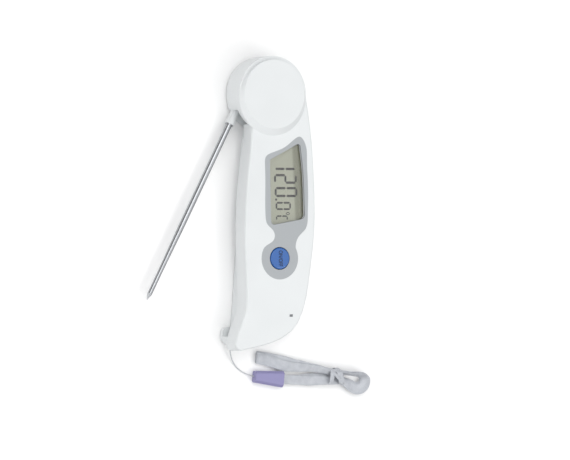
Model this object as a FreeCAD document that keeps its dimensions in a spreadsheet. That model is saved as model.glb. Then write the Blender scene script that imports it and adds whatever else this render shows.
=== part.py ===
import FreeCAD, Part
import math
import os
import Sketcher
from FreeCAD import Placement, Rotation, Vector

# A folding pocket thermometer lying on its back, in millimetres. X runs across the handle, Y runs from
# the heel to the round head, Z rises from the back to the display. The origin is where the axis of the
# folding probe meets the back. The probe is drawn part open, pinned there to the origin.

SIZES = [
    # alias, value, what it is
    ("total_height", 19.0, "back to the face of the head cap"),
    ("face_height", 17.0, "back to the front face of the handle"),
    ("roof_height", 15.2, "back to the inside of the front wall"),
    ("parting_height", 6.5, "where the front and rear shells meet"),
    ("shelf_height", 8.8, "top of the shelf over the probe channel"),
    ("wall", 1.6, "shell wall"),
    ("edge_radius", 1.1, "rounding round the front face"),
    ("back_radius", 1.6, "rounding round the back"),
    ("head_radius", 20.3, "fixed half of the head"),
    ("head_floor", 11.9, "underside of the fixed half of the head"),
    ("recess_floor", 13.6, "floor of the recess in the head"),
    ("recess_radius", 17.0, "recess under the head cap"),
    ("cap_radius", 18.35, "face of the head cap"),
    ("cap_base_radius", 20.2, "foot of the head cap, where it meets the handle"),
    ("cap_base_y", -1.9, "foot of the head cap, shifted down the handle"),
    ("cap_ledge", 0.9, "lip of the handle under the foot of the head cap"),
    ("cap_skin", 1.6, "thickness of the head cap"),
    ("drum_radius", 20.0, "turning half of the head"),
    ("drum_height", 11.6, "thickness of the turning half"),
    ("drum_rounding", 3.2, "rounding of the drum's back edge"),
    ("drum_clearance", 0.4, "air round the drum"),
    ("drum_cavity", 15.0, "radius of the hollow in the drum"),
    ("cover_radius", 15.9, "round cover on the drum's back"),
    ("cover_thickness", 1.8, "round cover on the drum's back"),
    ("spigot_radius", 6.0, "hollow spigot that the head turns on"),
    ("spigot_top", 14.2, "top of the spigot"),
    ("running_fit", 0.05, "radial clearance of the spigot in its hole"),
    ("wire_hole_offset", 4.3, "wire hole in the spigot, from the axis"),
    ("probe_height", 4.6, "probe axis above the back"),
    ("probe_offset", 9.7, "probe axis to the side of the pivot axis"),
    ("probe_angle", 28.2, "open probe, from straight down the handle"),
    ("closed_angle", 4.6, "folded probe, from straight down"),
    ("probe_radius", 1.65, "steel tube"),
    ("probe_bore", 1.25, "inside of the steel tube"),
    ("needle_radius", 1.25, "reduced end of the tube"),
    ("needle_bore", 0.8, "inside of the reduced end"),
    ("tube_root", 9.5, "start of the tube along the probe axis"),
    ("sleeve_end", 23.3, "end of the moulded sleeve"),
    ("collar_end", 24.0, "end of the steel collar"),
    ("taper_start", 84.0, "where the tube starts to narrow"),
    ("taper_end", 112.0, "where the narrowing stops"),
    ("point_start", 125.4, "where the point starts"),
    ("probe_tip", 128.8, "tip of the probe"),
    ("sleeve_root_radius", 2.1, "sleeve beside the drum"),
    ("sleeve_end_radius", 2.5, "flared mouth of the sleeve"),
    ("collar_radius", 2.05, "steel collar at the sleeve"),
    ("channel_clearance", 3.2, "folded probe axis to the channel wall"),
    ("bezel_floor", 16.0, "bottom of the recess for the bezel"),
    ("bezel_top", 16.88, "face of the bezel"),
    ("ring_x", 4.3, "centre of the bezel's round end"),
    ("ring_y", -87.3, "centre of the bezel's round end"),
    ("ring_radius", 11.2, "round end of the bezel"),
    ("button_radius", 5.8, "push button"),
    ("button_top", 17.7, "crown of the button"),
    ("button_travel", 0.6, "stroke of the button"),
    ("board_bottom", 9.0, "underside of the circuit board"),
    ("board_top", 10.0, "top of the circuit board"),
    ("glass_bottom", 12.5, "underside of the display glass"),
    ("glass_top", 14.5, "face of the display glass"),
    ("cell_x", 4.5, "centre of the coin cell"),
    ("cell_y", -104.0, "centre of the coin cell"),
    ("cell_radius", 10.0, "CR2032 cell"),
    ("cell_thickness", 3.2, "CR2032 cell"),
    ("cell_bottom", 3.4, "underside of the cell"),
    ("door_radius", 12.0, "battery door flange"),
    ("door_flange", 1.0, "battery door flange thickness"),
    ("door_plug_radius", 10.5, "battery door plug"),
    ("door_plug_top", 3.2, "top of the battery door plug"),
    ("ledge_bottom", 1.4, "ledge that the door locks under"),
    ("ledge_top", 2.4, "ledge that the door locks under"),
    ("ledge_radius", 10.8, "hole in the ledge"),
    ("tab_radius", 12.1, "bayonet tabs of the door"),
    ("screw_head_radius", 2.0, "case screws"),
    ("screw_shank_radius", 0.95, "case screws"),
    ("screw_hole_radius", 1.0, "case screw bosses"),
    ("boss_radius", 2.6, "case screw bosses"),
    ("cord_radius", 0.35, "thin lanyard cord"),
    ("cord_hole_radius", 0.38, "hole that holds the thin cord"),
    ("eyelet_radius", 0.6, "eyelet for the cord in the tip guard"),
    ("strap_radius", 1.5, "bundle of the flat strap, as a plain tube"),
    ("ferrule_length", 17.2, "soft sleeve that joins cord and strap"),
    ("ferrule_cord_width", 6.2, "soft sleeve at its cord end"),
    ("ferrule_strap_width", 8.8, "soft sleeve at its strap end"),
    ("ferrule_height", 4.4, "soft sleeve that joins cord and strap"),
]

# Plan of the handle at its widest: the left side from the head to the heel, then the heel and the long
# right side back to the head. Both sides end inside the round head.
LEFT_SIDE = [
    (-12.6, -9.0),
    (-12.9, -24.0),
    (-15.3, -45.0),
    (-16.8, -70.0),
    (-16.5, -89.0),
    (-15.7, -107.0),
    (-17.2, -118.0),
    (-20.4, -125.0),
    (-22.2, -131.0),
]
HEEL = [(-22.2, -131.0), (-21.9, -134.9), (-19.0, -136.3)]
RIGHT_SIDE = [
    (-19.0, -136.3),
    (-7.6, -134.0),
    (4.7, -130.4),
    (13.0, -125.0),
    (18.6, -116.0),
    (22.9, -97.0),
    (25.9, -72.0),
    (25.8, -48.0),
    (24.1, -24.0),
    (21.6, -6.3),
    (20.0, 2.0),
]

# Plan of the grey bezel from the left of its round end, round the display and back to the round end.
BEZEL_NECK_ANGLES = (152.0, 29.0)
BEZEL_EDGE = [
    (-2.6, -79.7),
    (0.6, -77.4),
    (1.2, -74.9),
    (-0.3, -71.9),
    (-3.3, -69.2),
    (-4.5, -64.3),
    (-4.6, -50.0),
    (-4.8, -38.0),
    (-4.1, -33.1),
    (-0.8, -31.2),
    (7.4, -28.1),
    (13.2, -23.9),
    (16.7, -22.5),
    (19.3, -24.9),
    (21.0, -35.0),
    (21.7, -51.0),
    (21.5, -64.3),
    (20.1, -71.6),
    (16.0, -75.6),
    (14.3, -79.0),
]
# Corners of the display opening, each with its rounding.
WINDOW = [
    (-1.7, -34.9, 1.6),
    (16.8, -25.6, 1.6),
    (19.0, -42.0, 60.0),
    (19.9, -66.2, 3.0),
    (-0.9, -69.7, 2.0),
]
DISPLAY_BOX = (-2.7, 21.3, -70.6, -25.1)
BOARD = [
    (-2.1, -23.3, 0.6),
    (21.3, -23.3, 0.6),
    (21.3, -90.0, 4.0),
    (14.5, -113.0, 3.0),
    (-9.0, -113.0, 1.0),
    (-9.0, -28.2, 0.6),
    (-2.1, -28.2, 0.6),
]
CASE_SCREWS = [(18.5, -19.1), (-5.1, -24.4), (-2.0, -124.0)]
BOARD_POSTS = [(-5.5, -77.0), (17.8, -84.0)]
COVER_SCREWS = [(0.0, 12.2), (0.0, -12.2)]

# The lug on the back shell that guards the folded point, with its roundings.
TIP_GUARD = [
    (-15.6, -123.8, 0.5),
    (-22.3, -124.2, 2.4),
    (-23.3, -129.2, 3.4),
    (-20.6, -133.2, 2.0),
    (-14.0, -133.2, 0.5),
]

# Routes of the lanyard, chosen point by point along the table.
CORD_ROUTE = [
    (-19.0, -131.2, 3.4),
    (-18.4, -134.6, 3.0),
    (-17.6, -137.7, 2.2),
    (-16.3, -140.9, 1.2),
    (-14.1, -144.1, 0.6),
    (-11.1, -146.9, 0.5),
    (-7.2, -149.0, 0.8),
    (-2.7, -150.4, 1.7),
    (1.3, -150.8, 2.0),
]
STRAP_ROUTE = [
    (10.4, -151.6, 2.1),
    (17.0, -152.2, 1.7),
    (25.6, -152.5, 1.6),
    (34.4, -151.9, 1.8),
    (43.0, -152.0, 2.2),
    (51.0, -152.7, 2.2),
    (56.2, -155.4, 2.0),
    (60.6, -157.8, 1.9),
    (64.6, -156.3, 2.2),
    (65.4, -152.6, 2.8),
    (63.4, -150.2, 3.4),
    (58.6, -149.6, 3.8),
    (51.0, -149.1, 4.0),
    (43.2, -148.4, 3.9),
    (35.4, -146.4, 3.4),
    (27.0, -145.2, 2.6),
    (18.4, -143.9, 1.9),
    (10.0, -142.0, 1.6),
    (3.6, -140.6, 1.6),
    (-1.4, -140.1, 1.6),
]
LEAD_LOOP_ROUTE = [
    (-4.3, 0.0, 15.4),
    (-4.3, 0.0, 16.4),
    (-1.5, -6.0, 16.5),
    (2.5, -11.5, 15.8),
    (4.0, -16.0, 14.5),
    (4.0, -23.9, 14.4),
    (4.0, -23.9, 10.0),
]
ARC_SHARE = 0.45

doc = FreeCAD.newDocument("folding_thermometer")
sheet = doc.addObject("Spreadsheet::Sheet", "Sizes")
for row, (alias, value, note) in enumerate(SIZES, start=1):
    sheet.set(f"A{row}", alias)
    sheet.set(f"B{row}", str(value))
    sheet.set(f"C{row}", note)
    sheet.setAlias(f"B{row}", alias)
doc.recompute()
parts = {}


def size(alias):
    return float(sheet.get(alias))


def keep(name, piece):
    """Gives a finished sub-part its label and puts it on the list to write."""
    piece.Label = name
    parts[name] = piece
    return piece


def bind(piece, **expressions):
    """Ties properties to the sheet. A double underscore in a name stands for a dot."""
    for prop, expression in expressions.items():
        piece.setExpression(prop.replace("__", "."), expression)
    return piece


def place(piece, x="0", y="0", z="0"):
    return bind(piece, Placement__Base__x=x, Placement__Base__y=y, Placement__Base__z=z)


def shape_part(name, shape):
    """Adds a sub-part whose form is worked out with solid geometry."""
    piece = doc.addObject("Part::Feature", name)
    piece.Shape = shape
    return keep(name, piece)


# ---- sketched bodies -------------------------------------------------------------------------------


def new_body(name):
    return keep(name, doc.addObject("PartDesign::Body", name))


def base_plane(body, role="XY_Plane"):
    return [f for f in body.Origin.OriginFeatures if f.Role == role][0]


def sketch_on(body, name, lift="0"):
    """An empty sketch on the body's own XY plane, lifted to a height."""
    sketch = body.newObject("Sketcher::SketchObject", name)
    sketch.AttachmentSupport = (base_plane(body), "")
    sketch.MapMode = "FlatFace"
    return bind(sketch, AttachmentOffset__Base__z=lift)


def add_circle(sketch, radius, x=0.0, y=0.0):
    """A circle whose radius is tied to the sheet, about the sketch's origin or a fixed place."""
    centre = Vector(x, y, 0)
    index = sketch.addGeometry(Part.Circle(centre, Vector(0, 0, 1), 1.0), False)
    if (x, y) == (0.0, 0.0):
        sketch.addConstraint(Sketcher.Constraint("Coincident", index, 3, -1, 1))
    else:
        sketch.addConstraint(Sketcher.Constraint("DistanceX", index, 3, x))
        sketch.addConstraint(Sketcher.Constraint("DistanceY", index, 3, y))
    number = sketch.addConstraint(Sketcher.Constraint("Radius", index, 1.0))
    sketch.renameConstraint(number, f"radius_{index}")
    sketch.setExpression(f"Constraints.radius_{index}", radius)


def add_profile(sketch, wire):
    """Copies a closed outline of lines and arcs into a sketch."""
    sketch.addGeometry([edge_geometry(edge) for edge in wire.Edges], False)


def edge_geometry(edge):
    ends = (edge.FirstParameter, edge.LastParameter)
    if isinstance(edge.Curve, Part.Line):
        return Part.LineSegment(edge.valueAt(ends[0]), edge.valueAt(ends[1]))
    return Part.Arc(edge.valueAt(ends[0]), edge.valueAt(sum(ends) / 2), edge.valueAt(ends[1]))


def pad(body, sketch, length):
    feature = body.newObject("PartDesign::Pad", f"{body.Name}_pad")
    feature.Profile = sketch
    return bind(feature, Length=length)


def pocket(body, sketch, length, reverse=False):
    """Cuts a sketch into the body and makes sure that something was cut away."""
    doc.recompute()
    before = body.Shape.Volume
    feature = body.newObject("PartDesign::Pocket", f"{body.Name}_pocket")
    feature.Profile = sketch
    feature.Reversed = reverse
    bind(feature, Length=length)
    doc.recompute()
    if body.Shape.Volume > before - 0.01:
        raise ValueError(f"{feature.Name} cuts nothing")
    return feature


def disc_body(name, radius, bottom, height, hole=None):
    """A round plate about the body's own Z axis, with an optional round hole."""
    body = new_body(name)
    sketch = sketch_on(body, f"{name}_plan", bottom)
    add_circle(sketch, radius)
    if hole:
        add_circle(sketch, hole)
    pad(body, sketch, height)
    return body


def round_edges(body, radius, chosen):
    """Fillets the edges of the body's last feature that a test picks."""
    doc.recompute()
    solid = body.Tip
    names = [f"Edge{i}" for i, e in enumerate(solid.Shape.Edges, start=1) if chosen(e)]
    feature = body.newObject("PartDesign::Fillet", f"{body.Name}_rounding")
    feature.Base = (solid, names)
    return bind(feature, Radius=radius)


def at_height(height):
    """Picks edges that lie flat at a height."""
    return lambda e: all(abs(v.Z - height) < 1e-4 for v in e.Vertexes) and e.BoundBox.ZLength < 1e-4


# ---- primitives --------------------------------------------------------------------------------------


def cylinder(name, radius, height, x="0", y="0", z="0"):
    piece = doc.addObject("Part::Cylinder", name)
    return place(bind(piece, Radius=radius, Height=height), x, y, z)


def cone(name, low_radius, high_radius, height, z="0"):
    piece = doc.addObject("Part::Cone", name)
    return place(bind(piece, Radius1=low_radius, Radius2=high_radius, Height=height), "0", "0", z)


def box(name, corner, length, width, height):
    piece = doc.addObject("Part::Box", name)
    return place(bind(piece, Length=length, Width=width, Height=height), *corner)


def fuse(name, pieces):
    piece = doc.addObject("Part::MultiFuse", name)
    piece.Shapes = pieces
    return piece


def cut(name, base, tool):
    piece = doc.addObject("Part::Cut", name)
    piece.Base = base
    piece.Tool = tool
    return piece


# ---- outlines and solids -------------------------------------------------------------------------------


def spline_edge(points):
    curve = Part.BSplineCurve()
    curve.interpolate([Vector(x, y, 0) for x, y in points])
    return curve.toShape()


def line_edge(start, end):
    return Part.LineSegment(Vector(*start, 0), Vector(*end, 0)).toShape()


def arc_edge(start, middle, end):
    return Part.Arc(*(Vector(*point, 0) for point in (start, middle, end))).toShape()


def moved_in(points, inset):
    """One side's points moved towards the middle of the handle, square to its run."""
    moved = []
    for index, (x, y) in enumerate(points):
        before = Vector(*points[max(index - 1, 0)], 0)
        after = Vector(*points[min(index + 1, len(points) - 1)], 0)
        run = (after - before).normalize()
        moved.append((x - run.y * inset, y + run.x * inset))
    return moved


def handle_face(inset=0.0):
    """The handle's plan, drawn in from its edge by a distance. An inner plan has its heel cut off."""
    left = moved_in(LEFT_SIDE, inset)
    right = moved_in(RIGHT_SIDE, inset)
    heel = line_edge(left[-1], right[0]) if inset else arc_edge(*HEEL)
    edges = [spline_edge(left), heel, spline_edge(right), line_edge(right[-1], left[0])]
    return Part.Face(Part.Wire(edges))


def prism(face, bottom, top):
    """A solid standing on a flat face, from one height to another."""
    lifted = face.copy()
    lifted.translate(Vector(0, 0, bottom))
    return lifted.extrude(Vector(0, 0, top - bottom))


def rounded_wire(corners):
    """A closed outline of straight lines whose corners are arcs of the given radii."""
    count = len(corners)
    trims = []
    for index, (x, y, radius) in enumerate(corners):
        here = Vector(x, y, 0)
        back = (Vector(*corners[index - 1][:2], 0) - here).normalize()
        ahead = (Vector(*corners[(index + 1) % count][:2], 0) - here).normalize()
        half = back.getAngle(ahead) / 2
        reach = radius / math.tan(half)
        middle = (back + ahead).normalize() * (radius / math.sin(half) - radius)
        trims.append((here + back * reach, here + middle, here + ahead * reach))
    edges = []
    for index, trim in enumerate(trims):
        edges.append(Part.Arc(*trim).toShape())
        edges.append(Part.LineSegment(trim[2], trims[(index + 1) % count][0]).toShape())
    return Part.Wire(edges)


def rounded_face(corners):
    return Part.Face(rounded_wire(corners))


def round_bar(radius, bottom, top, x=0.0, y=0.0):
    return Part.makeCylinder(radius, top - bottom, Vector(x, y, bottom))


def block(low, high):
    return Part.makeBox(*(b - a for a, b in zip(low, high)), Vector(*low))


def bezel_face():
    """The bezel's plan: a round end about the button joined to a field round the display."""
    centre = Vector(size("ring_x"), size("ring_y"), 0)
    radius = size("ring_radius")
    left, right = (
        centre + Vector(math.cos(math.radians(a)), math.sin(math.radians(a)), 0) * radius
        for a in BEZEL_NECK_ANGLES
    )
    low = centre + Vector(0, -radius, 0)
    edge = spline_edge([(left.x, left.y)] + BEZEL_EDGE + [(right.x, right.y)])
    return Part.Face(Part.Wire([edge, Part.Arc(right, low, left).toShape()]))


def probe_direction(angle):
    """Unit vector along the probe when it stands at an angle from straight down the handle."""
    turn = math.radians(angle)
    return Vector(-math.sin(turn), -math.cos(turn), 0)


def probe_foot(angle):
    """The point of the probe's axis nearest the pivot axis."""
    ahead = probe_direction(angle)
    side = Vector(ahead.y, -ahead.x, 0)
    return side * size("probe_offset") + Vector(0, 0, size("probe_height"))


def along_probe(angle):
    """Placement that stands a piece drawn along +Z on the probe's axis."""
    return Placement(probe_foot(angle), Rotation(Vector(0, 0, 1), probe_direction(angle)))


def channel_side(clearance, bottom, top):
    """A block that covers everything to the left of the folded probe's channel wall."""
    length = 400.0
    slab = block((-100.0, -length / 2, bottom), (clearance, length / 2, top))
    slab.rotate(Vector(0, 0, 0), Vector(0, 0, 1), -size("closed_angle"))
    foot = probe_foot(size("closed_angle"))
    slab.translate(Vector(foot.x, foot.y, 0))
    return slab


def one_solid(shape):
    clean = shape.removeSplitter()
    if len(clean.Solids) != 1:
        raise ValueError(f"{len(clean.Solids)} solids where one was meant")
    return clean.Solids[0]


# ---- cords ---------------------------------------------------------------------------------------------


def corner_arc(before, corner, after):
    """The tangent arc at a route's corner: its start, middle, end and radius."""
    back = before - corner
    ahead = after - corner
    half = back.getAngle(ahead) / 2
    reach = ARC_SHARE * min(back.Length, ahead.Length)
    radius = reach * math.tan(half)
    back.normalize()
    ahead.normalize()
    middle = (back + ahead).normalize() * (radius / math.sin(half) - radius)
    return corner + back * reach, corner + middle, corner + ahead * reach, radius


def cord_solid(route, radius):
    """A round cord along straight runs joined by tangent arcs, with its radii and its length."""
    points = [Vector(*point) for point in route]
    edges = []
    radii = []
    start = points[0]
    for before, corner, after in zip(points, points[1:], points[2:]):
        first, middle, last, turn_radius = corner_arc(before, corner, after)
        edges.append(Part.LineSegment(start, first).toShape())
        edges.append(Part.Arc(first, middle, last).toShape())
        radii.append(turn_radius)
        start = last
    edges.append(Part.LineSegment(start, points[-1]).toShape())
    path = Part.Wire(edges)
    section = Part.Circle(points[0], points[1] - points[0], radius).toShape()
    tube = path.makePipeShell([Part.Wire(section)], True, False)
    expected = math.pi * radius**2 * path.Length
    if not tube.isValid() or abs(tube.Volume / expected - 1) > 0.02:
        raise ValueError(f"cord volume {tube.Volume:.2f}, expected {expected:.2f}")
    return tube, radii, path.Length


def cord_part(name, route, radius):
    tube, radii, length = cord_solid(route, radius)
    rounded = ", ".join(f"{value:.1f}" for value in radii)
    print(f"{name}: length {length:.1f}, radii {rounded}")
    return shape_part(name, tube)


# ---- handle shells -------------------------------------------------------------------------------------


def drum_space():
    """The room that the turning half of the head needs below the fixed half."""
    room = round_bar(size("drum_radius") + size("drum_clearance"), -1.0, size("head_floor"))
    return room.fuse(block((12.0, -4.0, -1.0), (40.0, 40.0, size("head_floor"))))


def hollow(bottom, top):
    """The space inside the handle's side walls, clear of the head."""
    inner = prism(handle_face(size("wall")), bottom, top)
    keep_out = size("drum_radius") + size("drum_clearance") + size("wall")
    return inner.cut(round_bar(keep_out, bottom - 1, top + 1))


def sleeve_swing():
    """The room that the probe's sleeve sweeps as it folds against the handle."""
    reach = math.hypot(size("probe_offset"), size("collar_end")) + 0.6
    top = size("probe_height") + size("sleeve_end_radius") + 0.5
    ring = round_bar(reach, -1.0, top)
    return ring.common(channel_side(size("channel_clearance"), -1.0, top))


def front_shell():
    face, roof, parting = size("face_height"), size("roof_height"), size("parting_height")
    body = prism(handle_face(), parting, face)
    rim = [e for e in body.Edges if at_height(face)(e) and e.Length > 3]
    body = body.makeFillet(size("edge_radius"), rim)
    body = body.fuse(round_bar(size("head_radius"), size("head_floor"), face))
    body = body.fuse(round_bar(size("head_radius"), face - size("cap_ledge"), face, 0, size("cap_base_y")))
    body = body.cut(drum_space())
    body = body.cut(hollow(size("shelf_height"), roof))
    mouth = hollow(parting - 1, size("shelf_height") + 0.1)
    mouth = mouth.cut(channel_side(size("channel_clearance") + size("wall"), 0, roof))
    body = body.cut(mouth)
    body = body.cut(sleeve_swing())
    for x, y in CASE_SCREWS:
        body = body.fuse(round_bar(size("boss_radius"), parting, roof + 0.1, x, y))
        body = body.cut(round_bar(size("screw_hole_radius"), parting - 1, 13.0, x, y))
    for x, y in BOARD_POSTS:
        body = body.fuse(round_bar(1.5, size("board_top"), roof + 0.1, x, y))
    body = body.cut(round_bar(size("recess_radius"), size("recess_floor"), face + 1))
    hole = size("spigot_radius") + size("running_fit")
    body = body.cut(round_bar(hole, size("head_floor") - 1, face))
    body = body.cut(block((2.0, -25.0, size("recess_floor")), (6.0, -15.0, roof)))
    body = body.cut(prism(bezel_face(), size("bezel_floor"), face + 1))
    body = body.cut(prism(rounded_face(WINDOW), roof - 1, face))
    button_hole = size("button_radius") + 0.3
    body = body.cut(round_bar(button_hole, roof - 1, face, size("ring_x"), size("ring_y")))
    body = body.cut(block((10.3, -118.4, face - 0.6), (12.3, -117.1, face + 1)))
    return one_solid(body)


def rear_shell():
    parting, floor = size("parting_height"), size("wall")
    body = prism(handle_face(), 0, parting)
    rim = [e for e in body.Edges if at_height(0)(e) and e.Length > 3]
    body = body.makeFillet(size("back_radius"), rim)
    body = body.cut(drum_space())
    body = body.cut(channel_side(size("channel_clearance"), -1, parting + 1))
    inside = hollow(floor, parting + 1)
    inside = inside.cut(channel_side(size("channel_clearance") + floor, -1, parting + 2))
    body = body.cut(inside)
    body = body.cut(block((-40.0, -140.0, -1.0), (-14.5, -133.4, parting + 1)))
    guard = prism(rounded_face(TIP_GUARD), 0, parting)
    guard_rims = [e for e in guard.Edges if at_height(0)(e) or at_height(parting)(e)]
    guard = guard.makeFillet(1.0, [e for e in guard_rims if e.BoundBox.XMin < -20.5])
    pocket_width = size("channel_clearance") - 0.6
    slot = channel_side(pocket_width, 3.2, parting + 1)
    slot = slot.common(block((-60.0, -128.8, 0.0), (0.0, -90.0, parting + 1)))
    body = body.fuse(guard.cut(slot))
    well_x, well_y = size("cell_x"), size("cell_y")
    body = body.fuse(round_bar(size("door_radius") + 1.5, floor - 0.1, parting - 0.3, well_x, well_y))
    body = body.cut(round_bar(size("ledge_radius"), -1, parting + 1, well_x, well_y))
    body = body.cut(round_bar(size("door_radius") + 0.25, -1, size("ledge_bottom"), well_x, well_y))
    chamber = size("tab_radius") + 0.3
    body = body.cut(round_bar(chamber, size("ledge_top"), parting + 1, well_x, well_y))
    body = body.cut(bayonet(size("tab_radius") + 0.3, 0, parting, 12.0))
    for x, y in CASE_SCREWS:
        body = body.fuse(round_bar(size("boss_radius") + 0.6, 0.3, parting, x, y))
        body = body.cut(round_bar(size("screw_head_radius") + 0.3, -1, 3.0, x, y))
        body = body.cut(round_bar(size("screw_shank_radius") + 0.25, 0, parting + 1, x, y))
    exit_run = Vector(*CORD_ROUTE[1]) - Vector(*CORD_ROUTE[0])
    eyelet = Part.makeCylinder(size("eyelet_radius"), 4.0, Vector(*CORD_ROUTE[0]), exit_run)
    return one_solid(body.cut(eyelet))


def bayonet(radius, bottom, top, half_angle, turn=0.0):
    """Two opposite wedges about the coin cell's axis, for the door's tabs or their notches."""
    wedges = Part.makeCylinder(
        radius, top - bottom, Vector(0, 0, bottom), Vector(0, 0, 1), 2 * half_angle
    )
    wedges.rotate(Vector(0, 0, 0), Vector(0, 0, 1), turn - half_angle)
    other = wedges.copy()
    other.rotate(Vector(0, 0, 0), Vector(0, 0, 1), 180)
    both = wedges.fuse(other)
    both.translate(Vector(size("cell_x"), size("cell_y"), 0))
    return both


def shell_gasket():
    """A thin cord of rubber in the parting, along the long right-hand wall of the handle."""
    parting = size("parting_height")
    ring = prism(handle_face(size("wall") + 0.15), parting - 0.6, parting + 0.6)
    ring = ring.cut(prism(handle_face(size("wall") + 1.15), 0, size("face_height")))
    return one_solid(ring.common(block((4.0, -119.0, 0), (40.0, -23.0, size("face_height")))))


shape_part("front_shell", front_shell())
shape_part("rear_shell", rear_shell())
shape_part("shell_gasket", shell_gasket())

# ---- head cap and pivot hardware ---------------------------------------------------------------------------


def rim(name, radius, height, y="0"):
    """A bare circle that a loft runs through."""
    circle = doc.addObject("Part::Circle", name)
    return place(bind(circle, Radius=radius), "0", y, height)


cap_slope = doc.addObject("Part::Loft", "cap_slope")
cap_slope.Sections = [
    rim("cap_foot", "Sizes.cap_base_radius", "Sizes.face_height", "Sizes.cap_base_y"),
    rim("cap_rim", "Sizes.cap_radius", "Sizes.total_height"),
]
cap_slope.Solid = True
cap_slope.Ruled = True
cap_hollow = cylinder("cap_hollow", "Sizes.recess_radius - 1.5", "Sizes.total_height", z="-Sizes.cap_skin")
cap_plug = cylinder("cap_plug", "Sizes.recess_radius - 0.1", "2.2", z="Sizes.face_height - 1.6")
head_cap = cut("head_cap", fuse("cap_outer", [cap_slope, cap_plug]), cap_hollow)
keep("head_cap", head_cap)

SPRING_LIFT = "Sizes.recess_floor + 0.05"
disc_body("spring_washer", "8.6", SPRING_LIFT, "0.5", hole="Sizes.spigot_radius + 0.4")

pivot_washer = disc_body("pivot_washer", "9", "Sizes.spigot_top", "0.8", hole="1.6")
wire_gap = sketch_on(pivot_washer, "pivot_washer_wire_gap", "Sizes.spigot_top")
add_circle(wire_gap, "0.95", -size("wire_hole_offset"), 0.0)
pocket(pivot_washer, wire_gap, "0.8", reverse=True)

pivot_head = cylinder("pivot_head", "3", "1.7", z="Sizes.spigot_top + 0.8")
pivot_shank = cylinder("pivot_shank", "1.45", "8", z="Sizes.spigot_top + 0.8 - 8")
driver_slot = box("driver_slot", ("-3.5", "-0.4", "Sizes.spigot_top + 1.9"), "7", "0.8", "2")
keep("pivot_screw", cut("pivot_screw", fuse("pivot_blank", [pivot_head, pivot_shank]), driver_slot))

# ---- turning half of the head and the probe ------------------------------------------------------------------


def probe_hub():
    """The drum with its spigot, the probe's sleeve and the finger scoop beside the sleeve."""
    radius, height = size("drum_radius"), size("drum_height")
    drum = round_bar(radius, 0, height)
    drum = drum.makeFillet(size("drum_rounding"), [e for e in drum.Edges if at_height(0)(e)])
    drum = drum.makeFillet(0.4, [e for e in drum.Edges if at_height(height)(e)])
    scoop = Part.makeCylinder(radius + 2, height, Vector(0, 0, 3.0), Vector(0, 0, 1), 46)
    scoop = scoop.cut(round_bar(16.4, 0, height + 4))
    scoop.rotate(Vector(0, 0, 0), Vector(0, 0, 1), 205)
    drum = drum.cut(scoop)
    sleeve = Part.makeCone(
        size("sleeve_root_radius"),
        size("sleeve_end_radius"),
        size("sleeve_end") - 12.0,
        Vector(0, 0, 12.0),
    )
    sleeve.Placement = along_probe(size("probe_angle"))
    drum = drum.fuse(sleeve)
    cavity_top = height - 1.8
    drum = drum.cut(round_bar(size("drum_cavity"), -1, cavity_top))
    drum = drum.cut(round_bar(size("cover_radius") + 0.1, -1, size("cover_thickness")))
    drum = drum.fuse(round_bar(size("spigot_radius"), height - 0.5, size("spigot_top")))
    drum = drum.fuse(round_bar(3.2, 5.6, height))
    for x, y in COVER_SCREWS:
        drum = drum.fuse(round_bar(2.2, size("cover_thickness"), height - 1, x, y))
        drum = drum.cut(round_bar(0.9, 1, 8, x, y))
    drum = drum.cut(round_bar(1.5, 5.9, size("spigot_top") + 1))
    drum = drum.cut(round_bar(1.1, 5, size("spigot_top") + 1, -size("wire_hole_offset"), 0))
    groove = Part.makeTorus(12.5, 0.75, Vector(0, 0, height - 0.35))
    drum = drum.cut(groove)
    bore = round_bar(size("probe_radius"), 0, 60)
    bore.Placement = along_probe(size("probe_angle"))
    counterbore = round_bar(size("collar_radius"), size("sleeve_end") - 1.2, 60)
    counterbore.Placement = along_probe(size("probe_angle"))
    return one_solid(drum.cut(bore).cut(counterbore))


shape_part("probe_hub", probe_hub())

TUBE_LENGTH = "Sizes.taper_start - Sizes.tube_root"
TAPER_LENGTH = "Sizes.taper_end - Sizes.taper_start"
NEEDLE_LENGTH = "Sizes.point_start - Sizes.taper_end"
POINT_LENGTH = "Sizes.probe_tip - Sizes.point_start"
tube_outside = [
    cylinder("tube_body", "Sizes.probe_radius", TUBE_LENGTH, z="Sizes.tube_root"),
    cone("tube_taper", "Sizes.probe_radius", "Sizes.needle_radius", TAPER_LENGTH, "Sizes.taper_start"),
    cylinder("tube_needle", "Sizes.needle_radius", NEEDLE_LENGTH, z="Sizes.taper_end"),
    cone("tube_point", "Sizes.needle_radius", "0.12", POINT_LENGTH, "Sizes.point_start"),
]
tube_inside = [
    cylinder("bore_body", "Sizes.probe_bore", TUBE_LENGTH, z="Sizes.tube_root - 0.01"),
    cone("bore_taper", "Sizes.probe_bore", "Sizes.needle_bore", TAPER_LENGTH, "Sizes.taper_start - 0.01"),
    cylinder("bore_needle", "Sizes.needle_bore", NEEDLE_LENGTH, z="Sizes.taper_end - 0.01"),
]
probe_tube = cut("probe_tube", fuse("tube_blank", tube_outside), fuse("tube_hollow", tube_inside))
probe_tube.Placement = along_probe(size("probe_angle"))
keep("probe_tube", probe_tube)

COLLAR_LENGTH = "Sizes.collar_end - Sizes.sleeve_end + 1.2"
collar_outer = cylinder("collar_outer", "Sizes.collar_radius", COLLAR_LENGTH, z="Sizes.sleeve_end - 1.2")
collar_hole = cylinder("collar_hole", "Sizes.probe_radius", "4", z="Sizes.sleeve_end - 2")
probe_collar = cut("probe_collar", collar_outer, collar_hole)
probe_collar.Placement = along_probe(size("probe_angle"))
keep("probe_collar", probe_collar)

BEAD_START = 121.0
BEAD_LENGTH = 3.0


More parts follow.
